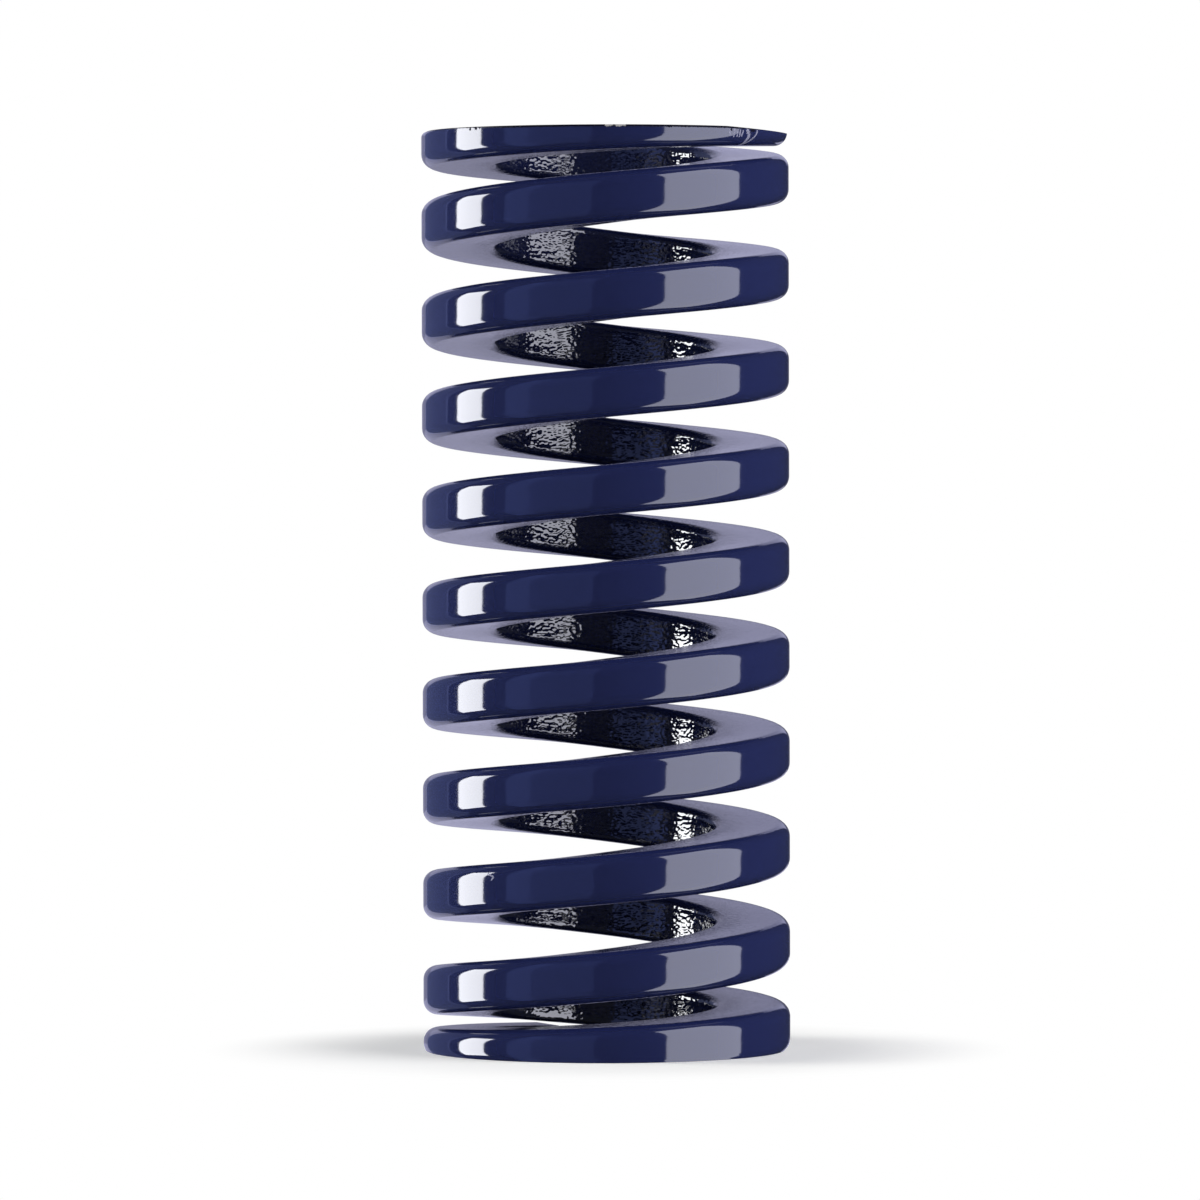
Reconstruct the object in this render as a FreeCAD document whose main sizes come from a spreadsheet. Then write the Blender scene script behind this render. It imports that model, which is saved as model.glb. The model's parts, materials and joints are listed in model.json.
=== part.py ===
import FreeCAD, Part
import math
import os
import Sketcher
from FreeCAD import Base, Placement, Rotation, Vector

# A die spring: one bar of rectangular wire with rounded corners, coiled into a right-handed
# open helix whose end coils close up and are ground flat. Millimetres, +Z along the spring,
# origin in the middle of the bottom ground end.

# Driving sizes: word alias, value, meaning
SIZES = (
    ("outer_diameter", 30.0, "outside of the coil, mm"),
    ("free_length", 75.0, "over both ground ends, unloaded, mm"),
    ("wire_width", 6.2, "wire section measured across the axis, mm"),
    ("wire_height", 4.0, "wire section measured along the axis, mm"),
    ("outer_corner_radius", 1.1, "section corners on the outside of the coil, mm"),
    ("inner_corner_radius", 0.8, "section corners on the bore side, mm"),
    ("total_turns", 10.657, "wire from tip to tip, turns"),
    ("settling_turns", 0.24, "turns at each tip in which the wire bends closer to the next coil"),
    ("settled_lead", 2.1, "lead at either tip, mm"),
    ("bottom_closed_turns", 0.395, "turns at the bottom whose lead is the wire height"),
    ("bottom_blend_turns", 0.53, "turns in which the lead opens above them"),
    ("top_blend_turns", 0.32, "turns in which the lead closes towards the top"),
    ("top_closed_turns", 0.345, "turns at the top whose lead is the wire height"),
    ("bottom_tip_thickness", 1.33, "what the grinding leaves of the wire at the bottom tip, mm"),
    ("top_tip_thickness", 1.26, "the same at the top tip, mm"),
    ("start_angle", 114.8, "where the bottom tip lies, from +X towards +Y, degrees"),
    ("bore_skim", 0.05, "taken off the bore side of the wire to true the bore, mm"),
    ("dressing_width", 3.6, "slight slope ground on the thin end at the top, across the axis, mm"),
    ("dressing_depth", 0.25, "what that slope takes off at the outside, mm"),
)

# Sizes that follow from the driving ones: word alias, formula
DERIVED = (
    ("mean_radius", "=(outer_diameter - wire_width) / 2"),
    ("bore_radius", "=outer_diameter / 2 - wire_width"),
    ("first_height", "=bottom_tip_thickness - wire_height / 2"),
    ("last_height", "=free_length - top_tip_thickness + wire_height / 2"),
    ("end_angle", "=mod(start_angle + 360 * total_turns; 360)"),
)

FULL_TURN = 2.0 * math.pi

# The point where a sketch's own axes cross
ROOT_POINT = (-1, 1)


def fill_sheet(doc):
    """Put the sizes into a sheet, one row each: alias, value or formula, meaning."""
    sheet = doc.addObject("Spreadsheet::Sheet", "sizes")
    for row, (alias, value, meaning) in enumerate(SIZES, start=1):
        sheet.set(f"A{row}", alias)
        sheet.set(f"B{row}", str(value))
        sheet.set(f"C{row}", meaning)
        sheet.setAlias(f"B{row}", alias)
    for row, (alias, formula) in enumerate(DERIVED, start=len(SIZES) + 1):
        sheet.set(f"A{row}", alias)
        sheet.set(f"B{row}", formula)
        sheet.setAlias(f"B{row}", alias)
    doc.recompute()
    return sheet


def unrolled_stretches(sheet):
    """The wire's centre line with the coil rolled out flat: angle round the axis across, height up.

    Straight stretches are turns of constant lead. Where the lead changes, the line is a parabola
    that runs smoothly on from the stretch before it.
    """
    closed_lead = sheet.wire_height
    settled_lead = sheet.settled_lead
    closed_turns = sheet.bottom_closed_turns + sheet.top_closed_turns
    blend_turns = sheet.bottom_blend_turns + sheet.top_blend_turns
    open_turns = sheet.total_turns - closed_turns - blend_turns - 2 * sheet.settling_turns
    closed_rise = closed_lead * (closed_turns + blend_turns / 2)
    settling_rise = (closed_lead + settled_lead) * sheet.settling_turns
    open_rise = sheet.last_height - sheet.first_height - closed_rise - settling_rise
    open_lead = open_rise / (open_turns + blend_turns / 2)

    stretches = []
    turns = 0
    height = sheet.first_height

    def point():
        return Base.Vector2d(math.radians(sheet.start_angle) + FULL_TURN * turns, height)

    # Turns, lead at the start and lead at the end, from the bottom tip to the top one
    for length, lead_before, lead_after in (
        (sheet.settling_turns, settled_lead, closed_lead),
        (sheet.bottom_closed_turns, closed_lead, closed_lead),
        (sheet.bottom_blend_turns, closed_lead, open_lead),
        (open_turns, open_lead, open_lead),
        (sheet.top_blend_turns, open_lead, closed_lead),
        (sheet.top_closed_turns, closed_lead, closed_lead),
        (sheet.settling_turns, closed_lead, settled_lead),
    ):
        poles = [point()]
        for lead in (lead_before, lead_after):
            turns += length / 2
            height += lead * length / 2
            poles.append(point())
        if lead_before == lead_after:
            stretch = Part.Geom2d.Line2dSegment(poles[0], poles[2])
        else:
            stretch = Part.Geom2d.BezierCurve2d()
            stretch.setPoles(poles)
        stretches.append(stretch)
    return stretches


def make_coil_path(doc, sheet):
    """Roll the flat centre line up on the cylinder of the mean radius."""
    rolled = Part.Cylinder()
    rolled.Radius = sheet.mean_radius
    edges = [stretch.toShape(rolled) for stretch in unrolled_stretches(sheet)]
    path = doc.addObject("Part::Feature", "coil_path")
    path.Shape = Part.Wire(edges)
    return path


def origin_plane(body, role):
    """One of the body's own origin planes, by its role."""
    return next(plane for plane in body.Origin.OriginFeatures if plane.Role == role)


def attach(sketch, body, role, offset):
    """Lay a sketch on one of its body's origin planes, moved by an offset in that plane's own axes."""
    sketch.AttachmentSupport = [(origin_plane(body, role), "")]
    sketch.MapMode = "FlatFace"
    sketch.AttachmentOffset = offset


def dimension(sketch, name, formula, *constraint):
    """Add a named dimension to a sketch, driven by a formula on the sheet."""
    index = sketch.addConstraint(Sketcher.Constraint(*constraint))
    sketch.renameConstraint(index, name)
    sketch.setExpression(f"Constraints.{name}", formula)


def draw_wire_section(body, sheet):
    """Rounded rectangle in the plane through the axis at the bottom tip, from the bore side outwards."""
    sketch = body.newObject("Sketcher::SketchObject", "wire_section")
    attach(sketch, body, "XZ_Plane", Placement(Vector(), Rotation(Vector(0, 1, 0), sheet.start_angle)))
    sketch.setExpression("AttachmentOffset.Rotation.Angle", "sizes.start_angle")

    inside = sheet.bore_radius - sheet.bore_skim
    outside = sheet.outer_diameter / 2
    low = sheet.first_height - sheet.wire_height / 2
    high = sheet.first_height + sheet.wire_height / 2
    inner = sheet.inner_corner_radius
    outer = sheet.outer_corner_radius

    def line(start, end):
        return Part.LineSegment(Vector(*start, 0), Vector(*end, 0))

    def corner(centre, radius, first_degrees):
        circle = Part.Circle(Vector(*centre, 0), Vector(0, 0, 1), radius)
        return Part.ArcOfCircle(circle, math.radians(first_degrees), math.radians(first_degrees + 90))

    # Sides and corners in order, counter-clockwise from the bottom
    sketch.addGeometry(
        [
            line((inside + inner, low), (outside - outer, low)),
            corner((outside - outer, low + outer), outer, 270),
            line((outside, low + outer), (outside, high - outer)),
            corner((outside - outer, high - outer), outer, 0),
            line((outside - outer, high), (inside + inner, high)),
            corner((inside + inner, high - inner), inner, 90),
            line((inside, high - inner), (inside, low + inner)),
            corner((inside + inner, low + inner), inner, 180),
        ],
        False,
    )
    bottom, top, outside_line, inside_line = 0, 4, 2, 6
    count = 8
    for side in range(count):
        sketch.addConstraint(Sketcher.Constraint("Tangent", side, 2, (side + 1) % count, 1))
    sketch.addConstraint(Sketcher.Constraint("Horizontal", bottom))
    sketch.addConstraint(Sketcher.Constraint("Horizontal", top))
    sketch.addConstraint(Sketcher.Constraint("Vertical", outside_line))
    sketch.addConstraint(Sketcher.Constraint("Vertical", inside_line))

    outer_corner, inner_corner = 1, 5
    dimension(sketch, "outer_corner", "sizes.outer_corner_radius", "Radius", outer_corner, outer)
    dimension(sketch, "inner_corner", "sizes.inner_corner_radius", "Radius", inner_corner, inner)
    sketch.addConstraint(Sketcher.Constraint("Equal", outer_corner, 3))
    sketch.addConstraint(Sketcher.Constraint("Equal", inner_corner, 7))
    for name, formula, constraint, side, value in (
        ("outside", "sizes.outer_diameter / 2", "DistanceX", outside_line, outside),
        ("inside", "sizes.bore_radius - sizes.bore_skim", "DistanceX", inside_line, inside),
        ("low", "sizes.first_height - sizes.wire_height / 2", "DistanceY", bottom, low),
        ("high", "sizes.first_height + sizes.wire_height / 2", "DistanceY", top, high),
    ):
        dimension(sketch, name, formula, constraint, *ROOT_POINT, side, 1, value)
    return sketch


def make_axis(doc):
    """The spring's axis, a little longer than the wire reaches."""
    axis = doc.addObject("Part::Line", "spring_axis")
    axis.setExpression("Z1", "-sizes.wire_height")
    axis.setExpression("Z2", "sizes.free_length + sizes.wire_height")
    axis.X2 = 0
    axis.Y2 = 0
    return axis


def draw_tip_dressing(body, sheet):
    """Triangle in the plane through the axis at the top tip; its slanting side dresses the thin end."""
    sketch = body.newObject("Sketcher::SketchObject", "dressing_outline")
    attach(sketch, body, "XZ_Plane", Placement(Vector(), Rotation(Vector(0, 1, 0), sheet.end_angle)))
    sketch.setExpression("AttachmentOffset.Rotation.Angle", "sizes.end_angle")

    width = sheet.dressing_width
    depth = sheet.dressing_depth
    near = sheet.outer_diameter / 2 - 2 * width
    far = sheet.outer_diameter / 2 + width
    low = sheet.free_length - 2 * depth
    high = sheet.free_length + depth
    corners = (Vector(near, high, 0), Vector(far, low, 0), Vector(far, high, 0))
    sides = [Part.LineSegment(corners[side], corners[(side + 1) % 3]) for side in range(3)]
    sketch.addGeometry(sides, False)
    for side in range(3):
        sketch.addConstraint(Sketcher.Constraint("Coincident", side, 2, (side + 1) % 3, 1))
    sketch.addConstraint(Sketcher.Constraint("Vertical", 1))
    sketch.addConstraint(Sketcher.Constraint("Horizontal", 2))

    slant = 0
    for name, formula, constraint, end, value in (
        ("near", "sizes.outer_diameter / 2 - 2 * sizes.dressing_width", "DistanceX", 1, near),
        ("far", "sizes.outer_diameter / 2 + sizes.dressing_width", "DistanceX", 2, far),
        ("low", "sizes.free_length - 2 * sizes.dressing_depth", "DistanceY", 2, low),
        ("high", "sizes.free_length + sizes.dressing_depth", "DistanceY", 1, high),
    ):
        dimension(sketch, name, formula, constraint, *ROOT_POINT, slant, end, value)
    return sketch


def bind(body, name, thing):
    """Let the body use a shape that was made outside it."""
    binder = body.newObject("PartDesign::SubShapeBinder", name)
    binder.Support = [(thing, ("",))]
    return binder


def coil_the_wire(body, section, path, axis):
    """Carry the section along the path, square to the wire and always facing the axis."""
    path_in_body = bind(body, "path_in_body", path)
    axis_in_body = bind(body, "axis_in_body", axis)
    coil = body.newObject("PartDesign::AdditivePipe", "coil")
    coil.Profile = (section, [""])
    coil.Spine = (path_in_body, [f"Edge{number + 1}" for number in range(len(path.Shape.Edges))])
    coil.Mode = "Auxiliary"
    coil.AuxiliarySpine = (axis_in_body, ["Edge1"])
    coil.AuxiliaryCurvilinear = False
    coil.Refine = False
    return coil


def draw_circle(body, name, height, radius):
    """A circle round the axis at a height; both are formulas on the sheet."""
    sketch = body.newObject("Sketcher::SketchObject", name)
    attach(sketch, body, "XY_Plane", Placement())
    sketch.setExpression("AttachmentOffset.Base.z", height)
    sketch.addGeometry(Part.Circle(Vector(), Vector(0, 0, 1), 1), False)
    sketch.addConstraint(Sketcher.Constraint("Coincident", 0, 3, *ROOT_POINT))
    dimension(sketch, "radius", radius, "Radius", 0, 1)
    return sketch


def cut_away(body, name, sketch, length, forwards):
    """Pocket from a sketch, towards the way it faces or the other way."""
    pocket = body.newObject("PartDesign::Pocket", name)
    pocket.Profile = sketch
    pocket.Reversed = forwards
    pocket.setExpression("Length", length)
    pocket.Refine = False
    return pocket


def make_spring(doc, sheet):
    path = make_coil_path(doc, sheet)
    axis = make_axis(doc)
    body = doc.addObject("PartDesign::Body", "die_spring")
    body.Label = "die_spring"
    section = draw_wire_section(body, sheet)
    coil_the_wire(body, section, path, axis)
    doc.recompute()

    bottom = draw_circle(body, "bottom_outline", "0", "sizes.outer_diameter")
    cut_away(body, "bottom_grinding", bottom, "sizes.wire_height", False)
    doc.recompute()
    top = draw_circle(body, "top_outline", "sizes.free_length", "sizes.outer_diameter")
    cut_away(body, "top_grinding", top, "sizes.wire_height", True)
    doc.recompute()
    bore = draw_circle(body, "bore_outline", "0", "sizes.bore_radius")
    cut_away(body, "bore", bore, "sizes.free_length", True)
    doc.recompute()
    dressing = draw_tip_dressing(body, sheet)
    cut_away(body, "tip_dressing", dressing, "sizes.outer_diameter / 2", True)
    doc.recompute()
    return body


def check(doc, body):
    """Stop if any object failed or a cut took nothing off."""
    for thing in doc.Objects:
        if "Invalid" in thing.State or "Error" in thing.State:
            raise RuntimeError(f"{thing.Name} failed: {thing.State}")
    if body.Shape.isNull() or not body.Shape.isValid() or len(body.Shape.Solids) != 1:
        raise RuntimeError("the spring isn't one valid solid")
    names = ("coil", "bottom_grinding", "top_grinding", "bore", "tip_dressing")
    stages = [doc.getObject(name).Shape.Volume for name in names]
    print("volume after each stage, mm3:", [round(volume, 3) for volume in stages])
    if any(after >= before for before, after in zip(stages, stages[1:])):
        raise RuntimeError("a cut took nothing off")


def main():
    doc = FreeCAD.newDocument("die_spring")
    sheet = fill_sheet(doc)
    body = make_spring(doc, sheet)
    check(doc, body)
    os.makedirs("parts", exist_ok=True)
    body.Shape.exportStep(f"parts/{body.Label}.step")
    print("written:", body.Label, body.Shape.BoundBox)


main()
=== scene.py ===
"""A die spring in glossy dark blue enamel, standing on a pale floor in soft studio light."""

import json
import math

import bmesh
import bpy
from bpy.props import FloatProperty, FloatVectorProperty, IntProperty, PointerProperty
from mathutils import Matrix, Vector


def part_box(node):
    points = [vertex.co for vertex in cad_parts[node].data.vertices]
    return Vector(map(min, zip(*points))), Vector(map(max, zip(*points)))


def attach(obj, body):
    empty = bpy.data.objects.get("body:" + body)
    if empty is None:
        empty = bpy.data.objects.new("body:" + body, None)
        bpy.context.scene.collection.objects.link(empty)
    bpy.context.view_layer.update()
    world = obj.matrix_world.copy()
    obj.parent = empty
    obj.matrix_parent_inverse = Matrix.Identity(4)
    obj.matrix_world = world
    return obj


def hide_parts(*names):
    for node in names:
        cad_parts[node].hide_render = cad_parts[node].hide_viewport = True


bl_info = {
    "name": "Die Spring",
    "version": (1, 0, 0),
    "blender": (4, 5, 0),
    "location": "3D View > Sidebar > Die Spring",
    "description": "Winds a die spring from rectangular wire, enamels it and lights it",
    "category": "Add Mesh",
}

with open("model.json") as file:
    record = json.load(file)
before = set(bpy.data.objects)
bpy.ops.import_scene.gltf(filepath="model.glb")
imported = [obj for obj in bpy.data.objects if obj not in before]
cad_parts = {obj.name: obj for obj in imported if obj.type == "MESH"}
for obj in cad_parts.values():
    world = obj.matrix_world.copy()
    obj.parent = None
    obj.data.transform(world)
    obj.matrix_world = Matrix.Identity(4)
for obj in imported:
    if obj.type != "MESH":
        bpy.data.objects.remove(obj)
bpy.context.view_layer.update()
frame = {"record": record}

MM = 0.001
FULL_TURN = 2.0 * math.pi
AXIS = Vector((0.0, 0.0, 1.0))
ORIGIN = Vector((0.0, 0.0, 0.0))
WHITE = (1.0, 1.0, 1.0, 1.0)

# The size that makes create_grid draw a square with sides of one
UNIT_SQUARE = 0.5

# How near a plane a point counts as lying on it
ON_PLANE = 0.0001 * MM

# What the frame says of the spring
LOW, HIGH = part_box("die_spring")
OUTER_RADIUS = (HIGH.x - LOW.x) / 2
FREE_LENGTH = HIGH.z - LOW.z
BORE = next(mount for mount in frame["record"]["mounts"] if mount["name"] == "bore")
BORE_RADIUS = BORE["dims"]["r_mm"] * MM

# Degrees from +X towards +Y between which an edge of a ground end is rounded: where the rounding
# starts, where it begins to fade and where it is gone. The one below starts just before the tip.
WORN_EDGE_FADE = (235.0, 275.0)
BEFORE_TIP = 0.5
TOP_EDGE_BEARINGS = (60.0, 183.0, 215.0)

# Edges that turn by more than this stay sharp
SHARP_ANGLE = math.radians(40.0)

# Marks on the outside, as two ends and a width. An end is the degrees from +X towards +Y and the
# height in millimetres; the width is in millimetres.
SCRATCHES = (
    ((-40.03, 74.68), (-39.16, 74.36), 0.34),
    ((-39.16, 74.36), (-39.29, 74.10), 0.36),
    ((-39.29, 74.10), (-39.94, 73.63), 0.26),
    ((-35.12, 74.70), (-35.31, 74.44), 0.15),
    ((-35.31, 74.44), (-36.52, 74.12), 0.14),
    ((-36.52, 74.12), (-37.82, 73.85), 0.14),
    ((-37.82, 73.85), (-39.16, 73.64), 0.14),
    ((-47.94, 74.75), (-47.84, 74.24), 0.10),
    ((-45.95, 74.74), (-46.11, 74.18), 0.12),
    ((-44.54, 74.72), (-44.65, 74.21), 0.11),
    ((-43.35, 74.70), (-43.65, 74.20), 0.14),
    ((-42.08, 74.65), (-42.62, 74.26), 0.14),
    ((-129.51, 15.03), (-128.50, 14.88), 0.10),
    ((-128.50, 14.88), (-127.34, 14.75), 0.12),
    ((-127.34, 14.75), (-128.04, 14.55), 0.10),
)
CHIPS = (
    ((-89.54, 74.95), (-89.08, 74.93), 0.24),
    ((-88.78, 74.97), (-87.71, 74.97), 0.17),
    ((-86.64, 74.97), (-85.57, 74.95), 0.24),
    ((-85.11, 74.97), (-83.91, 74.96), 0.20),
)
NOTCHES = (
    ((-136.27, 74.99), (-136.22, 74.80), 0.18),
    ((-133.89, 74.99), (-133.78, 74.82), 0.24),
    ((-132.08, 75.00), (-132.22, 74.86), 0.14),
    ((-71.21, 74.89), (-69.27, 74.84), 0.12),
    ((-47.27, 74.78), (-47.27, 74.68), 0.18),
    ((-38.18, 74.74), (-36.63, 74.71), 0.26),
)


class WireSizes(bpy.types.PropertyGroup):
    """The wire's section, its turns and how it closes and is ground at both ends."""

    height: FloatProperty(
        name="Wire height", description="Section along the axis", default=4.0 * MM, unit="LENGTH"
    )
    outer_corner: FloatProperty(
        name="Outer corners",
        description="Corner radius outside the coil",
        default=1.1 * MM,
        unit="LENGTH",
    )
    inner_corner: FloatProperty(
        name="Inner corners",
        description="Corner radius on the bore side",
        default=0.8 * MM,
        unit="LENGTH",
    )
    total_turns: FloatProperty(name="Turns", description="Wire from tip to tip", default=10.657)
    settling: FloatProperty(
        name="Settling turns",
        description="Turns at each tip that bend closer to the next coil",
        default=0.24,
    )
    settled_lead: FloatProperty(
        name="Settled lead", description="Lead at either tip", default=2.1 * MM, unit="LENGTH"
    )
    bottom_closed: FloatProperty(
        name="Bottom closed turns",
        description="Turns at the bottom at a lead of one wire",
        default=0.395,
    )
    bottom_blend: FloatProperty(
        name="Bottom blend turns",
        description="Turns in which the lead opens above them",
        default=0.53,
    )
    top_blend: FloatProperty(
        name="Top blend turns",
        description="Turns in which the lead closes towards the top",
        default=0.32,
    )
    top_closed: FloatProperty(
        name="Top closed turns", description="Turns at the top at a lead of one wire", default=0.345
    )
    bottom_tip: FloatProperty(
        name="Bottom tip",
        description="Wire that the grinding leaves there",
        default=1.33 * MM,
        unit="LENGTH",
    )
    top_tip: FloatProperty(
        name="Top tip",
        description="Wire that the grinding leaves there",
        default=1.26 * MM,
        unit="LENGTH",
    )
    start_angle: FloatProperty(
        name="Start angle",
        description="Where the bottom tip lies, from +X towards +Y",
        default=math.radians(114.8),
        subtype="ANGLE",
    )
    dressing_width: FloatProperty(
        name="Dressing width",
        description="Slope on the thin end at the top",
        default=3.6 * MM,
        unit="LENGTH",
    )
    dressing_depth: FloatProperty(
        name="Dressing depth",
        description="What the slope takes off outside",
        default=0.25 * MM,
        unit="LENGTH",
    )
    worn_edge: FloatProperty(
        name="Worn edge",
        description="Height of the rounding below on the thin part of the bottom coil",
        default=0.65 * MM,
        unit="LENGTH",
    )
    top_edge: FloatProperty(
        name="Top edge",
        description="Rounding of the top end's edge on the left",
        default=0.45 * MM,
        unit="LENGTH",
    )
    steps: IntProperty(
        name="Steps per turn", description="Sections along one turn", default=96, min=12
    )
    corner_steps: IntProperty(
        name="Corner steps", description="Faces round each corner", default=8, min=1
    )


class EnamelFinish(bpy.types.PropertyGroup):
    """The paint and the shot-peened steel that shows through it."""

    colour: FloatVectorProperty(
        name="Enamel",
        description="Dark blue enamel",
        default=(0.0138, 0.0186, 0.069),
        subtype="COLOR",
    )
    # Painted shade: the bore's enamel keeps this share of its colour, which darkens the bore
    bore_painted_shade: FloatProperty(
        name="Bore shade", description="Enamel in the bore beside that outside", default=0.45
    )
    index: FloatProperty(
        name="Index", description="Refractive index of the enamel's clear coat", default=1.75
    )
    outer_gloss: FloatProperty(
        name="Outer gloss", description="Specular level outside", default=0.585
    )
    flat_gloss: FloatProperty(
        name="Flat gloss", description="Specular level on the flats", default=0.085
    )
    bore_gloss: FloatProperty(
        name="Bore gloss", description="Specular level in the bore", default=0.9
    )
    rim_gloss: FloatProperty(
        name="Rim gloss", description="Specular level on the matt rim", default=0.05
    )
    scratch: FloatVectorProperty(
        name="Scratches", description="Scuffed enamel", default=(0.27, 0.27, 0.36), subtype="COLOR"
    )
    # Painted shade: near-black colour of the dark line along the top end's outer edge and of its
    # notches
    painted_edge_shade: FloatVectorProperty(
        name="Dark edge",
        description="Matt dark rim of the top end",
        default=(0.004, 0.004, 0.012),
        subtype="COLOR",
    )
    chip: FloatVectorProperty(
        name="Chips", description="Primer in the chips", default=(0.55, 0.53, 0.46), subtype="COLOR"
    )
    gloss_roughness: FloatProperty(
        name="Gloss roughness", description="Roughness of the outside of the coil", default=0.07
    )
    peened_roughness: FloatProperty(
        name="Peened roughness",
        description="Roughness of the flats and the bore side",
        default=0.06,
    )
    ground_roughness: FloatProperty(
        name="Ground roughness", description="Roughness of the ground ends", default=0.25
    )
    worn_roughness: FloatProperty(
        name="Worn roughness", description="Roughness of scratches, chips and rim", default=0.6
    )
    dimple: FloatProperty(
        name="Dimple",
        description="Size of a peening dimple on the flats",
        default=0.24 * MM,
        unit="LENGTH",
    )
    bore_dimple: FloatProperty(
        name="Bore dimple",
        description="Length of a dimple in the bore",
        default=0.38 * MM,
        unit="LENGTH",
    )
    bore_relief: FloatProperty(
        name="Bore relief",
        description="Depth of the dimples in the bore",
        default=0.041 * MM,
        unit="LENGTH",
    )
    inner_relief: FloatProperty(
        name="Inner relief",
        description="Depth on the flats beside the bore",
        default=0.05 * MM,
        unit="LENGTH",
    )
    flat_relief: FloatProperty(
        name="Flat relief",
        description="Depth on the flats further out",
        default=0.022 * MM,
        unit="LENGTH",
    )
    outer_relief: FloatProperty(
        name="Outer relief",
        description="Waviness of the outside",
        default=0.0008 * MM,
        unit="LENGTH",
    )
    grinding_relief: FloatProperty(
        name="Grinding relief",
        description="Depth of the wheel's lines",
        default=0.003 * MM,
        unit="LENGTH",
    )


class StudioSettings(bpy.types.PropertyGroup):
    """Camera and lamps. Bearings run from the camera's side of the object towards +X."""

    camera_distance: FloatProperty(
        name="Camera distance", description="From the spring's axis", default=0.6415, unit="LENGTH"
    )
    camera_height: FloatProperty(
        name="Camera height", description="Above the floor", default=48.23 * MM, unit="LENGTH"
    )
    camera_aside: FloatProperty(
        name="Camera aside", description="From the middle plane", default=-0.46 * MM, unit="LENGTH"
    )
    camera_pitch: FloatProperty(
        name="Camera pitch",
        description="Below the horizontal",
        default=math.radians(1.023),
        subtype="ANGLE",
    )
    camera_roll: FloatProperty(
        name="Camera roll",
        description="Round the view",
        default=math.radians(0.134),
        subtype="ANGLE",
    )
    lens: FloatProperty(name="Lens", description="Focal length in millimetres", default=235.4)
    lamp_distance: FloatProperty(
        name="Lamp distance", description="From the spring's axis", default=0.6, unit="LENGTH"
    )
    strip_level: FloatProperty(
        name="Strip", description="Brightness of the narrow lamp on the left", default=8.2
    )
    panel_level: FloatProperty(
        name="Panel", description="Brightness of the wide lamp on the right", default=2.45
    )
    soft_share: FloatProperty(
        name="Soft share",
        description="Light beside the strip and the panel that shows in no reflection",
        default=1.25,
    )
    fill_level: FloatProperty(
        name="Fill", description="Brightness of the dim lamp left of the camera", default=0.22
    )
    side_level: FloatProperty(
        name="Fill's side", description="Brightness of that lamp's left end", default=0.4
    )
    rim_level: FloatProperty(
        name="Rim", description="Brightness of the lamp behind on the left", default=0.235
    )
    edge_level: FloatProperty(
        name="Rim's edge", description="Brightness of that lamp's frame", default=0.66
    )
    strip_colour: FloatVectorProperty(
        name="Strip colour",
        description="Light of the strip",
        default=(0.96, 0.97, 1.0),
        subtype="COLOR",
    )
    panel_colour: FloatVectorProperty(
        name="Panel colour",
        description="Light of the panel",
        default=(0.87, 0.88, 1.0),
        subtype="COLOR",
    )
    fill_colour: FloatVectorProperty(
        name="Fill colour",
        description="Light of the fill",
        default=(0.26, 0.36, 1.0),
        subtype="COLOR",
    )
    rim_colour: FloatVectorProperty(
        name="Rim colour", description="Light of the rim", default=(0.42, 0.5, 1.0), subtype="COLOR"
    )
    paper_glow: FloatVectorProperty(
        name="Backdrop's light",
        description="What the object gets of it",
        default=(0.55, 0.55, 0.78),
        subtype="COLOR",
    )
    world_colour: FloatVectorProperty(
        name="Surroundings' colour",
        description="Light from round the lamps",
        default=(0.7, 0.75, 1.0),
        subtype="COLOR",
    )
    world_level: FloatProperty(
        name="Surroundings", description="Brightness round the lamps", default=0.045
    )
    floor_colour: FloatVectorProperty(
        name="Floor",
        description="Paper under the object",
        default=(0.85, 0.84, 0.74),
        subtype="COLOR",
    )
    floor_lift: FloatProperty(
        name="Floor's lift", description="What the camera sees of it above its light", default=0.32
    )


def coil_stretches(sizes):
    """Turns, lead before and lead after of each stretch of the wire, from the bottom tip up."""
    closed_lead = sizes.height
    closed_turns = sizes.bottom_closed + sizes.top_closed
    blend_turns = sizes.bottom_blend + sizes.top_blend
    open_turns = sizes.total_turns - closed_turns - blend_turns - 2 * sizes.settling
    rise = FREE_LENGTH - sizes.bottom_tip - sizes.top_tip + sizes.height
    closed_rise = closed_lead * (closed_turns + blend_turns / 2)
    settling_rise = (closed_lead + sizes.settled_lead) * sizes.settling
    open_lead = (rise - closed_rise - settling_rise) / (open_turns + blend_turns / 2)
    return (
        (sizes.settling, sizes.settled_lead, closed_lead),
        (sizes.bottom_closed, closed_lead, closed_lead),
        (sizes.bottom_blend, closed_lead, open_lead),
        (open_turns, open_lead, open_lead),
        (sizes.top_blend, open_lead, closed_lead),
        (sizes.top_closed, closed_lead, closed_lead),
        (sizes.settling, closed_lead, sizes.settled_lead),
    )


def draw_section(mesh, sizes):
    """The wire's section as one face in the plane through the axis at the bottom tip."""
    width = OUTER_RADIUS - BORE_RADIUS
    middle = Vector(((OUTER_RADIUS + BORE_RADIUS) / 2, 0.0, sizes.bottom_tip - sizes.height / 2))
    place = (
        Matrix.Rotation(sizes.start_angle, 4, AXIS)
        @ Matrix.Translation(middle)
        @ Matrix.Rotation(math.radians(90.0), 4, "X")
        @ Matrix.Diagonal((width, sizes.height, 1.0, 1.0))
    )
    bmesh.ops.create_grid(mesh, x_segments=1, y_segments=1, size=UNIT_SQUARE, matrix=place)

    def is_outside(vert):
        return vert.co.xy.length > middle.x

    outer = [vert for vert in mesh.verts if is_outside(vert)]
    inner = [vert for vert in mesh.verts if not is_outside(vert)]
    for corners, radius in ((outer, sizes.outer_corner), (inner, sizes.inner_corner)):
        bmesh.ops.bevel(
            mesh,
            geom=corners,
            offset=radius,
            offset_type="OFFSET",
            segments=sizes.corner_steps,
            profile=0.5,
            affect="VERTICES",
            material=-1,
        )
    hold_flats(mesh, sizes)


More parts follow.
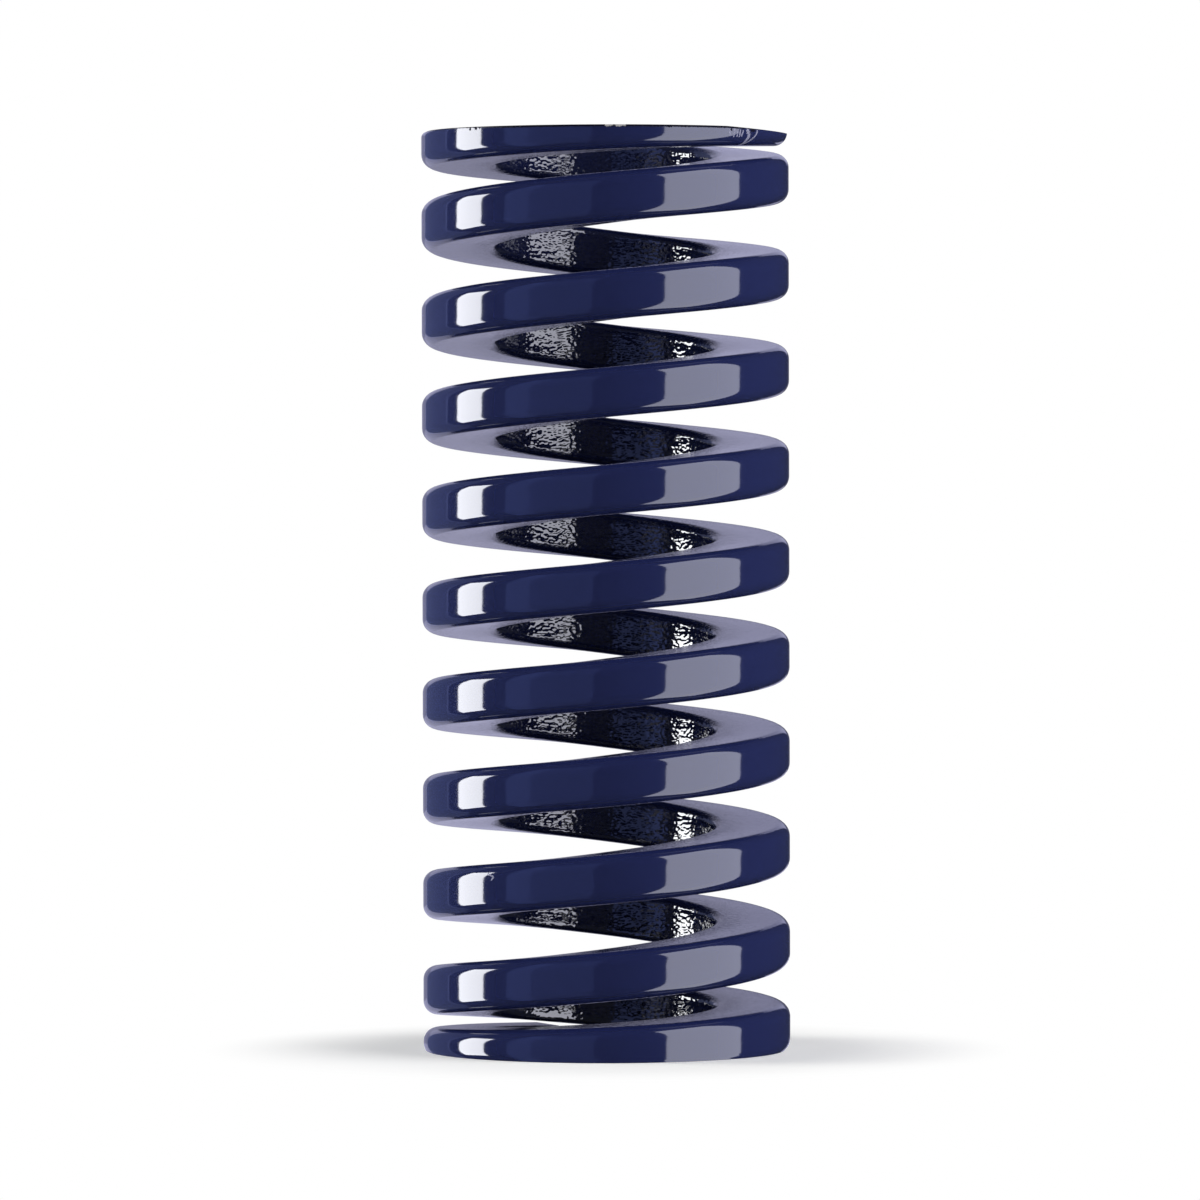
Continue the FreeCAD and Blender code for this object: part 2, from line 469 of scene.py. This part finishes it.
def hold_flats(mesh, sizes):
    """A point on each straight side close to either corner, so that the sides shade flat."""
    shortest = min(sizes.outer_corner, sizes.inner_corner)
    hold = 0.35 * MM
    for edge in [edge for edge in mesh.edges if edge.calc_length() > shortest]:
        start = edge.verts[0]
        length = edge.calc_length()
        rest, near = bmesh.utils.edge_split(edge, start, hold / length)
        longer = max((rest, *near.link_edges), key=lambda part: part.calc_length())
        far_end = longer.other_vert(near)
        bmesh.utils.edge_split(longer, far_end, hold / (length - hold))


def wind(mesh, sizes):
    """Carry the section round the axis, a stretch at a time.

    Where the lead changes within a stretch, it does so step by step.
    """
    tip = mesh.verts[:] + mesh.edges[:] + mesh.faces[:]
    for turns, lead_before, lead_after in coil_stretches(sizes):
        steps = round(turns * sizes.steps)
        spins = 1 if lead_before == lead_after else steps
        for number in range(spins):
            lead = lead_before + (lead_after - lead_before) * (number + 0.5) / spins
            wound = bmesh.ops.spin(
                mesh,
                geom=tip,
                cent=ORIGIN,
                axis=AXIS,
                dvec=AXIS * lead * turns / steps,
                angle=FULL_TURN * turns / spins,
                steps=steps // spins,
                use_merge=False,
                use_normal_flip=False,
                use_duplicate=False,
            )
            tip = wound["geom_last"]


def cut_off(mesh, place, outwards):
    """Take away what lies beyond a plane and close the cut with flat faces."""
    cut = bmesh.ops.bisect_plane(
        mesh,
        geom=mesh.verts[:] + mesh.edges[:] + mesh.faces[:],
        dist=ON_PLANE,
        plane_co=place,
        plane_no=outwards,
        clear_outer=True,
    )
    edges = [item for item in cut["geom_cut"] if isinstance(item, bmesh.types.BMEdge)]
    filled = bmesh.ops.holes_fill(mesh, edges=edges, sides=0)
    for face in filled["faces"]:
        face.smooth = False


def dress_top_tip(mesh, sizes):
    """Grind a slight slope on the thin end at the top."""
    end_angle = sizes.start_angle + FULL_TURN * sizes.total_turns
    outwards = Vector((math.cos(end_angle), math.sin(end_angle), 0.0))
    place = outwards * (OUTER_RADIUS - sizes.dressing_width) + AXIS * FREE_LENGTH
    slope = outwards * sizes.dressing_depth + AXIS * sizes.dressing_width
    cut_off(mesh, place, slope.normalized())


def round_ground_edge(mesh, level, height, radius, bearings):
    """Round the outer edge of a ground end with an arc that leaves the outside smoothly.

    The ground end lies at level and the arc reaches height away from it. It starts at the first
    bearing and fades out from the second one to the third.
    """
    rows = 5
    searched_height = 4 * MM
    just_outside = OUTER_RADIUS - 0.01 * MM
    start, fade_from, fade_to = (math.radians(degrees) for degrees in bearings)
    inwards = 1.0 if level < FREE_LENGTH / 2 else -1.0
    for row in range(1, rows + 1):
        near = [
            face
            for face in mesh.faces
            if abs(face.calc_center_median().z - level) < searched_height
        ]
        edges = {edge for face in near for edge in face.edges}
        verts = {vert for face in near for vert in face.verts}
        bmesh.ops.bisect_plane(
            mesh,
            geom=[*verts, *edges, *near],
            dist=ON_PLANE,
            plane_co=AXIS * (level + inwards * height * row / rows),
            plane_no=AXIS,
        )
    for vert in mesh.verts:
        angle = math.atan2(vert.co.y, vert.co.x) % FULL_TURN
        short_of_arc = height - abs(vert.co.z - level)
        on_outside = vert.co.xy.length > just_outside
        if not on_outside or short_of_arc <= 0.0 or not start < angle < fade_to:
            continue
        fade = min(1.0, (fade_to - angle) / (fade_to - fade_from))
        inset = (radius - math.sqrt(radius**2 - short_of_arc**2)) * fade
        vert.co.xy = vert.co.xy * (1 - inset / OUTER_RADIUS)


def make_coil(sizes):
    """The whole spring as one closed mesh: wound, ground at both ends and dressed."""
    mesh = bmesh.new()
    draw_section(mesh, sizes)
    wind(mesh, sizes)
    for face in mesh.faces:
        face.smooth = True
    cut_off(mesh, ORIGIN, -AXIS)
    cut_off(mesh, AXIS * FREE_LENGTH, AXIS)
    dress_top_tip(mesh, sizes)
    worn_edge_bearings = (math.degrees(sizes.start_angle) - BEFORE_TIP, *WORN_EDGE_FADE)
    round_ground_edge(mesh, 0.0, sizes.worn_edge, 2 * sizes.worn_edge, worn_edge_bearings)
    round_ground_edge(mesh, FREE_LENGTH, sizes.top_edge, sizes.top_edge, TOP_EDGE_BEARINGS)
    bmesh.ops.recalc_face_normals(mesh, faces=mesh.faces[:])
    for edge in mesh.edges:
        if len(edge.link_faces) == 2 and edge.calc_face_angle(0.0) > SHARP_ANGLE:
            edge.smooth = False
    open_edges = [edge for edge in mesh.edges if len(edge.link_faces) != 2]
    if open_edges:
        raise RuntimeError(f"the coil isn't closed: {len(open_edges)} open edges")
    data = bpy.data.meshes.new("enamelled_coil")
    mesh.to_mesh(data)
    mesh.free()
    return data


# Shares of a stroke's width: it is full up to the first and has ended at the second
STROKE_CORE = 0.35
STROKE_END = 0.6


def round_outside(degrees):
    """Length round the outside from +X towards +Y."""
    return math.radians(degrees) * OUTER_RADIUS


class NodeBuilder:
    """Short forms for the few kinds of node that the materials use."""

    def __init__(self, tree):
        self.tree = tree
        tree.nodes.clear()

    def add(self, kind, **settings):
        """A new node with its settings."""
        node = self.tree.nodes.new(kind)
        for name, value in settings.items():
            setattr(node, name, value)
        return node

    def feed(self, socket, value):
        """Link an input to a node's output, or set it to a plain value."""
        if isinstance(value, bpy.types.NodeSocket):
            self.tree.links.new(value, socket)
        else:
            socket.default_value = value

    def math(self, operation, *values):
        """The result of an operation on numbers."""
        node = self.add("ShaderNodeMath", operation=operation)
        for socket, value in zip(node.inputs, values):
            self.feed(socket, value)
        return node.outputs[0]

    def ramp(self, value, start, end, low=0.0, high=1.0):
        """Low before start, high after end, and a smooth step between them."""
        node = self.add("ShaderNodeMapRange", interpolation_type="SMOOTHSTEP")
        for name, number in (
            ("Value", value),
            ("From Min", start),
            ("From Max", end),
            ("To Min", low),
            ("To Max", high),
        ):
            self.feed(node.inputs[name], number)
        return node.outputs["Result"]

    def between(self, share, low, high):
        """Low where share is nought and high where it is one."""
        return self.ramp(share, 0.0, 1.0, low, high)

    def noise(self, place, size, detail=1.0):
        """Noise round nought, whose lumps are about as large as size."""
        node = self.add("ShaderNodeTexNoise")
        self.feed(node.inputs["Vector"], place)
        self.feed(node.inputs["Scale"], 1.0 / size)
        self.feed(node.inputs["Detail"], detail)
        return self.math("SUBTRACT", node.outputs["Fac"], 0.5)

    def lines(self, distance, width):
        """Noise round nought that changes with one distance only, as lines of about that width."""
        node = self.add("ShaderNodeTexNoise", noise_dimensions="1D")
        self.feed(node.inputs["W"], distance)
        self.feed(node.inputs["Scale"], 1.0 / width)
        return self.math("SUBTRACT", node.outputs["Fac"], 0.5)

    def vector(self, operation, *values):
        """The result of an operation on vectors."""
        node = self.add("ShaderNodeVectorMath", operation=operation)
        for socket, value in zip(node.inputs, values):
            self.feed(socket, value)
        return node.outputs["Value" if operation in ("LENGTH", "DOT_PRODUCT") else "Vector"]

    def scale(self, vector, factor):
        """A vector or a colour times a number."""
        node = self.add("ShaderNodeVectorMath", operation="SCALE")
        self.feed(node.inputs[0], vector)
        self.feed(node.inputs["Scale"], factor)
        return node.outputs["Vector"]

    def coordinates(self, place):
        """The three numbers of a place."""
        node = self.add("ShaderNodeSeparateXYZ")
        self.feed(node.inputs[0], place)
        return node.outputs["X"], node.outputs["Y"], node.outputs["Z"]

    def from_axis(self, place):
        """How far a place is from the line through the origin along Z."""
        return self.vector("LENGTH", self.vector("MULTIPLY", place, (1.0, 1.0, 0.0)))

    def stroke(self, place, start, end, width):
        """One on a straight stroke between two points, nought beyond its width."""
        along = end - start
        from_start = self.vector("SUBTRACT", place, start)
        share = self.vector("DOT_PRODUCT", from_start, along / along.length_squared)
        clamped = self.add("ShaderNodeClamp")
        self.feed(clamped.inputs["Value"], share)
        nearest = self.scale(along, clamped.outputs[0])
        away = self.vector("LENGTH", self.vector("SUBTRACT", from_start, nearest))
        return self.ramp(away, STROKE_CORE * width, STROKE_END * width, 1.0, 0.0)

    def strokes(self, unrolled, marks):
        """One on any of several marks on the outside."""
        total = 0.0
        for *ends, width in marks:
            start, end = (
                Vector((round_outside(degrees), height * MM, 0.0)) for degrees, height in ends
            )
            total = self.math("MAXIMUM", total, self.stroke(unrolled, start, end, width * MM))
        return total

    def blend(self, share, low, high):
        """A colour between two. A Mix node's inputs 6 and 7 and its output 2 are colours."""
        node = self.add("ShaderNodeMix", data_type="RGBA")
        self.feed(node.inputs[0], share)
        self.feed(node.inputs[6], low)
        self.feed(node.inputs[7], high)
        return node.outputs[2]

    def show(self, shader, output="ShaderNodeOutputMaterial"):
        """Send a shader to the output."""
        self.feed(self.add(output).inputs["Surface"], shader.outputs[0])


def new_material(name):
    """An empty material and the builder of its nodes."""
    material = bpy.data.materials.new(name)
    material.use_nodes = True
    return material, NodeBuilder(material.node_tree)


# Radii between which one kind of surface turns into the next, from the bore outwards
# The bore's painted shade fades out between the first pair of radii
BORE_PAINTED_SHADE_END = (BORE_RADIUS, BORE_RADIUS + 0.8 * MM)
BORE_SIDE_END = (BORE_RADIUS + 0.05 * MM, BORE_RADIUS + 0.3 * MM)
FLATS_GET_CALMER = (BORE_RADIUS + 0.6 * MM, BORE_RADIUS + 3.5 * MM)
SCRATCHES_START = (OUTER_RADIUS - 1.2 * MM, OUTER_RADIUS - 1.0 * MM)
OUTSIDE_START = (OUTER_RADIUS - 0.9 * MM, OUTER_RADIUS - 0.2 * MM)
EDGE_START = (OUTER_RADIUS - 0.3 * MM, OUTER_RADIUS - 0.2 * MM)

# Heights between which the ground ends stop and start
BOTTOM_GROUND_END = (0.01 * MM, 0.03 * MM)
TOP_GROUND_START = (FREE_LENGTH - 0.03 * MM, FREE_LENGTH - 0.01 * MM)

# What makes the dimples in the bore wider than they are high
BORE_DIMPLE_FLATTENING = (1.0, 1.0, 1.5)

# Length of the waves on the outside, in dimples of the flats
WAVE_DIMPLES = 3

# Where the grinding wheel's centre was and how wide the lines are that it left
WHEEL_CENTRE = (-110 * MM, -60 * MM, 0.0)
WHEEL_LINE = 0.12 * MM

# Grain and depth of the ragged edges of all marks, and the rim's share of that depth
RAGGED_GRAIN = 0.12 * MM
RAGGED_DEPTH = 0.3 * MM
RIM_RAGGEDNESS = 0.5

# The matt rim of the top end is painted shade, a dark line along its outer edge. It grows
# from the first depth to the second between two bearings, given in degrees from +X towards +Y
RIM_BEARINGS = (-140.0, -115.0)
RIM_DEPTHS = (0.07 * MM, 0.17 * MM)
RIM_SOFTNESS = 0.03 * MM


class CoilSurface:
    """Where a point of the enamel lies, and how far it is on each kind of surface."""

    def __init__(self, nodes):
        self.place = nodes.add("ShaderNodeTexCoord").outputs["Object"]
        x, y, self.height = nodes.coordinates(self.place)
        self.radius = nodes.from_axis(self.place)
        self.around = nodes.math("MULTIPLY", nodes.math("ARCTAN2", y, x), OUTER_RADIUS)
        self.in_bore = nodes.ramp(self.radius, *BORE_SIDE_END, 1.0, 0.0)
        self.outside = nodes.ramp(self.radius, *OUTSIDE_START)
        above = nodes.ramp(self.height, *TOP_GROUND_START)
        below = nodes.ramp(self.height, *BOTTOM_GROUND_END, 1.0, 0.0)
        self.ground = nodes.math("MAXIMUM", above, below)


def enamel_relief(nodes, surface, finish):
    """Dimples in the bore and on the flats, long waves all over and wheel lines on the ends."""
    flattened = nodes.vector("MULTIPLY", surface.place, BORE_DIMPLE_FLATTENING)
    bore_noise = nodes.noise(flattened, finish.bore_dimple, detail=0.0)
    bore_dimples = nodes.math("MULTIPLY", bore_noise, finish.bore_relief)
    flat_noise = nodes.noise(surface.place, finish.dimple, detail=2.0)
    flat_depth = nodes.ramp(
        surface.radius, *FLATS_GET_CALMER, finish.inner_relief, finish.flat_relief
    )
    flat_dimples = nodes.math("MULTIPLY", flat_noise, flat_depth)
    peened = nodes.between(surface.in_bore, flat_dimples, bore_dimples)
    dimples = nodes.math("MULTIPLY", peened, nodes.math("SUBTRACT", 1.0, surface.outside))
    long_noise = nodes.noise(surface.place, WAVE_DIMPLES * finish.dimple)
    waves = nodes.math("MULTIPLY", long_noise, finish.outer_relief)
    from_wheel = nodes.from_axis(nodes.vector("SUBTRACT", surface.place, WHEEL_CENTRE))
    lines = nodes.math("MULTIPLY", nodes.lines(from_wheel, WHEEL_LINE), finish.grinding_relief)
    lines = nodes.math("MULTIPLY", lines, surface.ground)
    return nodes.math("ADD", nodes.math("ADD", dimples, waves), lines)


def enamel_marks(nodes, surface):
    """How far a point is in a scratch, in a chip and on the matt rim of the top end.

    The rim is painted shade, a dark line along the end's outer edge, and takes in the notches in
    the paint.

    The marks have ragged edges and are laid out on the outside as if it were rolled out flat.
    """
    ragged_noise = nodes.noise(surface.place, RAGGED_GRAIN, detail=2.0)
    ragged = nodes.math("MULTIPLY", ragged_noise, RAGGED_DEPTH)
    unrolled = nodes.add("ShaderNodeCombineXYZ")
    nodes.feed(unrolled.inputs["X"], nodes.math("ADD", surface.around, ragged))
    nodes.feed(unrolled.inputs["Y"], nodes.math("ADD", surface.height, ragged))
    on_outside = nodes.ramp(surface.radius, *SCRATCHES_START)
    at_edge = nodes.ramp(surface.radius, *EDGE_START)
    scratched, chipped, notched = (
        nodes.math("MULTIPLY", nodes.strokes(unrolled.outputs[0], marks), zone)
        for marks, zone in ((SCRATCHES, on_outside), (CHIPS, at_edge), (NOTCHES, at_edge))
    )
    further_round = nodes.ramp(surface.around, *map(round_outside, RIM_BEARINGS))
    rim_depth = nodes.between(further_round, *RIM_DEPTHS)
    rim_height = nodes.math(
        "ADD", surface.height, nodes.math("MULTIPLY", ragged, RIM_RAGGEDNESS)
    )
    rim_height = nodes.math("ADD", rim_height, rim_depth)
    # Painted shade: a dark line along the top end's outer edge, its depth changing with bearing
    rim = nodes.ramp(rim_height, FREE_LENGTH - RIM_SOFTNESS, FREE_LENGTH + RIM_SOFTNESS)
    # The notches in the paint are real marks and take the same dark colour
    rim = nodes.math("MAXIMUM", notched, nodes.math("MULTIPLY", rim, at_edge))
    return scratched, chipped, rim


def make_enamel(finish):
    """Glossy enamel, smooth outside the coil and dimpled on the flats and in the bore.

    Its colour holds painted shade: the bore is darkened, and the top end's rim is a dark line.
    """
    material, nodes = new_material("dark_blue_enamel")
    surface = CoilSurface(nodes)
    scratched, chipped, rim = enamel_marks(nodes, surface)

    # Painted shade: the enamel is darkened in the bore, where little light reaches
    shade = nodes.ramp(surface.radius, *BORE_PAINTED_SHADE_END, finish.bore_painted_shade, 1.0)
    colour = nodes.scale(tuple(finish.colour), shade)
    # Painted shade: the top end's rim takes a near-black colour, as do the notches
    colour = nodes.blend(rim, colour, (*finish.painted_edge_shade, 1.0))
    colour = nodes.blend(scratched, colour, (*finish.scratch, 1.0))
    colour = nodes.blend(chipped, colour, (*finish.chip, 1.0))

    roughness = nodes.between(surface.outside, finish.peened_roughness, finish.gloss_roughness)
    worn_and_shaded_rim = nodes.math("MAXIMUM", nodes.math("MAXIMUM", scratched, chipped), rim)
    for zone, rougher in (
        (surface.ground, finish.ground_roughness),
        (worn_and_shaded_rim, finish.worn_roughness),
    ):
        roughness = nodes.math("MAXIMUM", roughness, nodes.math("MULTIPLY", zone, rougher))

    gloss = nodes.between(surface.outside, finish.flat_gloss, finish.outer_gloss)
    gloss = nodes.between(surface.in_bore, gloss, finish.bore_gloss)
    # The painted dark rim also loses its gloss
    gloss = nodes.between(rim, gloss, finish.rim_gloss)

    bump = nodes.add("ShaderNodeBump")
    nodes.feed(bump.inputs["Height"], enamel_relief(nodes, surface, finish))
    nodes.feed(bump.inputs["Strength"], 1.0)
    nodes.feed(bump.inputs["Distance"], 1.0)

    shader = nodes.add("ShaderNodeBsdfPrincipled")
    for name, value in (
        ("Base Color", colour),
        ("Roughness", roughness),
        ("IOR", finish.index),
        ("Specular IOR Level", gloss),
        ("Normal", bump.outputs["Normal"]),
    ):
        nodes.feed(shader.inputs[name], value)
    nodes.show(shader)
    return material


class MESH_OT_die_spring_coil(bpy.types.Operator):
    """Wind the coil from rectangular wire, grind its ends and enamel it"""

    bl_idname = "mesh.die_spring_coil"
    bl_label = "Enamelled Coil"

    def execute(self, context):
        data = make_coil(context.scene.die_spring_wire)
        coil = bpy.data.objects.new("enamelled_coil", data)
        context.scene.collection.objects.link(coil)
        data.materials.append(make_enamel(context.scene.die_spring_enamel))
        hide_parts("die_spring")
        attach(coil, "root")
        return {"FINISHED"}


# The camera's sensor in millimetres, and how near it still sees
SENSOR_WIDTH = 36.0
NEAREST_SEEN = 10 * MM

# The floor. The camera sees the object's shadow on it up to the first reach, and plain white from
# the second.
FLOOR_SIDE = 6.0
FLOOR_GAP = 0.02 * MM
SHADOW_REACH = (17 * MM, 34 * MM)

# The upright sheet behind the object
BACKDROP_PLACE = (-0.12, 1.2, 0.0)
BACKDROP_SIDES = (0.88, 1.6)

# The backdrop's dim band: the heights between which it ends below and above, and the two places
# across the backdrop between which its glow falls from the first share to the second
BAND_BOTTOM = (-110 * MM, -85 * MM)
BAND_TOP = (140 * MM, 215 * MM)
BAND_MIDDLE = (-100 * MM, 100 * MM)
BAND_SHARES = (0.6, 0.2)


def add_camera(context, studio):
    """A camera at the photograph's place and angle."""
    data = bpy.data.cameras.new("camera")
    data.lens = studio.lens
    data.sensor_width = SENSOR_WIDTH
    data.clip_start = NEAREST_SEEN
    camera = bpy.data.objects.new("camera", data)
    camera.location = (studio.camera_aside, -studio.camera_distance, studio.camera_height)
    camera.rotation_euler = (math.radians(90.0) - studio.camera_pitch, studio.camera_roll, 0.0)
    context.scene.collection.objects.link(camera)
    context.scene.camera = camera


def add_lamp(context, name, level, colour, bearings, reach, in_reflections=True):
    """A flat soft lamp between two bearings that reaches as far up as down."""
    distance = context.scene.die_spring_studio.lamp_distance
    middle = math.radians(sum(bearings) / 2)
    half = math.radians(abs(bearings[1] - bearings[0]) / 2)
    data = bpy.data.lights.new(name, "AREA")
    data.shape = "RECTANGLE"
    data.size = 2 * distance * math.tan(half)
    data.size_y = 2 * distance * math.tan(math.radians(reach))
    # Watts that make a lamp of this size as bright as its level
    data.energy = level * math.pi * data.size * data.size_y
    data.color = colour
    lamp = bpy.data.objects.new(name, data)
    lamp.location = (distance * math.sin(middle), -distance * math.cos(middle), FREE_LENGTH / 2)
    lamp.rotation_euler = (math.radians(90.0), 0.0, middle)
    lamp.visible_camera = False
    lamp.visible_glossy = in_reflections
    context.scene.collection.objects.link(lamp)


def add_lamps(context, studio):
    """Every lamp, with its two sides' bearings and its reach up and down in degrees."""
    for name, level, colour, bearings, reach in (
        ("strip_lamp", studio.strip_level, studio.strip_colour, (-105.5, -83.0), 26.0),
        ("panel_lamp", studio.panel_level, studio.panel_colour, (37.0, 92.0), 57.0),
        ("fill_lamp", studio.fill_level, studio.fill_colour, (-48.0, -8.0), 50.0),
        ("fill_side_lamp", studio.side_level, studio.fill_colour, (-65.0, -48.0), 50.0),
        ("rim_lamp", studio.rim_level, studio.rim_colour, (-156.0, -118.0), 45.0),
        ("rim_edge_lamp", studio.edge_level, studio.rim_colour, (-118.0, -116.5), 40.0),
    ):
        add_lamp(context, name, level, colour, bearings, reach)
        if name in ("strip_lamp", "panel_lamp"):
            soft_level = level * studio.soft_share
            soft_name = f"soft_{name}"
            add_lamp(context, soft_name, soft_level, colour, bearings, reach, in_reflections=False)


def add_plane(context, name, place, material):
    """A square sheet of paper with its material, linked into the scene."""
    mesh = bmesh.new()
    bmesh.ops.create_grid(mesh, x_segments=1, y_segments=1, size=UNIT_SQUARE, matrix=place)
    data = bpy.data.meshes.new(name)
    mesh.to_mesh(data)
    mesh.free()
    data.materials.append(material)
    plane = bpy.data.objects.new(name, data)
    context.scene.collection.objects.link(plane)
    return plane


def make_floor_material(studio):
    """Pale floor that keeps the object's shadow and is plain white for the camera further off."""
    material, nodes = new_material("pale_floor")
    place = nodes.add("ShaderNodeTexCoord").outputs["Object"]
    camera_ray = nodes.add("ShaderNodeLightPath").outputs["Is Camera Ray"]
    far = nodes.ramp(nodes.vector("LENGTH", place), *SHADOW_REACH)
    paper = nodes.add("ShaderNodeBsdfDiffuse")
    nodes.feed(paper.inputs["Color"], (*studio.floor_colour, 1.0))
    lift = nodes.add("ShaderNodeEmission")
    nodes.feed(lift.inputs["Strength"], nodes.math("MULTIPLY", camera_ray, studio.floor_lift))
    near_floor = nodes.add("ShaderNodeAddShader")
    nodes.feed(near_floor.inputs[0], paper.outputs[0])
    nodes.feed(near_floor.inputs[1], lift.outputs[0])
    white = nodes.add("ShaderNodeEmission")
    floor = nodes.add("ShaderNodeMixShader")
    nodes.feed(floor.inputs[0], nodes.math("MULTIPLY", camera_ray, far))
    nodes.feed(floor.inputs[1], near_floor.outputs[0])
    nodes.feed(floor.inputs[2], white.outputs[0])
    nodes.show(floor)
    return material


def make_backdrop_material(studio):
    """White paper for the camera. The object gets a tinted glow from it, dim at its own level.

    The outside of the coil mirrors the dim band at its very edges, and the flats mirror what lies
    above and below it.
    """
    material, nodes = new_material("white_backdrop")
    camera_ray = nodes.add("ShaderNodeLightPath").outputs["Is Camera Ray"]
    place = nodes.add("ShaderNodeTexCoord").outputs["Object"]
    across, _, height = nodes.coordinates(place)
    above = nodes.ramp(height, *BAND_TOP)
    below = nodes.ramp(height, *BAND_BOTTOM, 1.0, 0.0)
    band_share = nodes.ramp(across, *BAND_MIDDLE, *BAND_SHARES)
    share = nodes.between(nodes.math("MAXIMUM", above, below), band_share, 1.0)
    glow = nodes.scale(tuple(studio.paper_glow), share)
    paper = nodes.add("ShaderNodeEmission")
    nodes.feed(paper.inputs["Color"], nodes.blend(camera_ray, glow, WHITE))
    nodes.show(paper)
    return material


def add_floor(context, studio):
    """The pale floor just under the object. It shows in no reflection."""
    place = Matrix.Translation((0.0, 0.0, LOW.z - FLOOR_GAP)) @ Matrix.Scale(FLOOR_SIDE, 4)
    floor = add_plane(context, "floor", place, make_floor_material(studio))
    floor.visible_glossy = False


def add_backdrop(context, studio):
    """The upright sheet of paper behind the object."""
    place = (
        Matrix.Translation(BACKDROP_PLACE)
        @ Matrix.Rotation(math.radians(90.0), 4, "X")
        @ Matrix.Diagonal((*BACKDROP_SIDES, 1.0, 1.0))
    )
    add_plane(context, "backdrop", place, make_backdrop_material(studio))


def light_world(context, studio):
    """White for the camera, and dim for what the object reflects."""
    world = bpy.data.worlds.new("studio")
    world.use_nodes = True
    context.scene.world = world
    nodes = NodeBuilder(world.node_tree)
    camera_ray = nodes.add("ShaderNodeLightPath").outputs["Is Camera Ray"]
    background = nodes.add("ShaderNodeBackground")
    colour = nodes.blend(camera_ray, (*studio.world_colour, 1.0), WHITE)
    nodes.feed(background.inputs["Color"], colour)
    level = nodes.between(camera_ray, studio.world_level, 1.0)
    nodes.feed(background.inputs["Strength"], level)
    nodes.show(background, "ShaderNodeOutputWorld")


class SCENE_OT_die_spring_studio(bpy.types.Operator):
    """Set up the floor, the backdrop, the lamps and the camera"""

    bl_idname = "scene.die_spring_studio"
    bl_label = "Studio"

    def execute(self, context):
        studio = context.scene.die_spring_studio
        add_camera(context, studio)
        add_lamps(context, studio)
        add_floor(context, studio)
        add_backdrop(context, studio)
        light_world(context, studio)
        context.scene.view_settings.view_transform = "Standard"
        return {"FINISHED"}


class VIEW3D_PT_die_spring(bpy.types.Panel):
    """The spring's operators and sizes"""

    bl_label = "Die Spring"
    bl_idname = "VIEW3D_PT_die_spring"
    bl_space_type = "VIEW_3D"
    bl_region_type = "UI"
    bl_category = "Die Spring"

    def draw(self, context):
        layout = self.layout
        layout.operator(MESH_OT_die_spring_coil.bl_idname)
        layout.operator(SCENE_OT_die_spring_studio.bl_idname)
        for group in (
            context.scene.die_spring_wire,
            context.scene.die_spring_enamel,
            context.scene.die_spring_studio,
        ):
            column = layout.column(align=True)
            for name in group.bl_rna.properties.keys():
                if name not in ("rna_type", "name"):
                    column.prop(group, name)


CLASSES = (
    WireSizes,
    EnamelFinish,
    StudioSettings,
    MESH_OT_die_spring_coil,
    SCENE_OT_die_spring_studio,
    VIEW3D_PT_die_spring,
)


def register():
    for cls in CLASSES:
        bpy.utils.register_class(cls)
    bpy.types.Scene.die_spring_wire = PointerProperty(type=WireSizes)
    bpy.types.Scene.die_spring_enamel = PointerProperty(type=EnamelFinish)
    bpy.types.Scene.die_spring_studio = PointerProperty(type=StudioSettings)


def unregister():
    del bpy.types.Scene.die_spring_studio
    del bpy.types.Scene.die_spring_enamel
    del bpy.types.Scene.die_spring_wire
    for cls in reversed(CLASSES):
        bpy.utils.unregister_class(cls)


def main():
    register()
    bpy.ops.mesh.die_spring_coil()
    bpy.ops.scene.die_spring_studio()


if __name__ == "__main__":
    main()
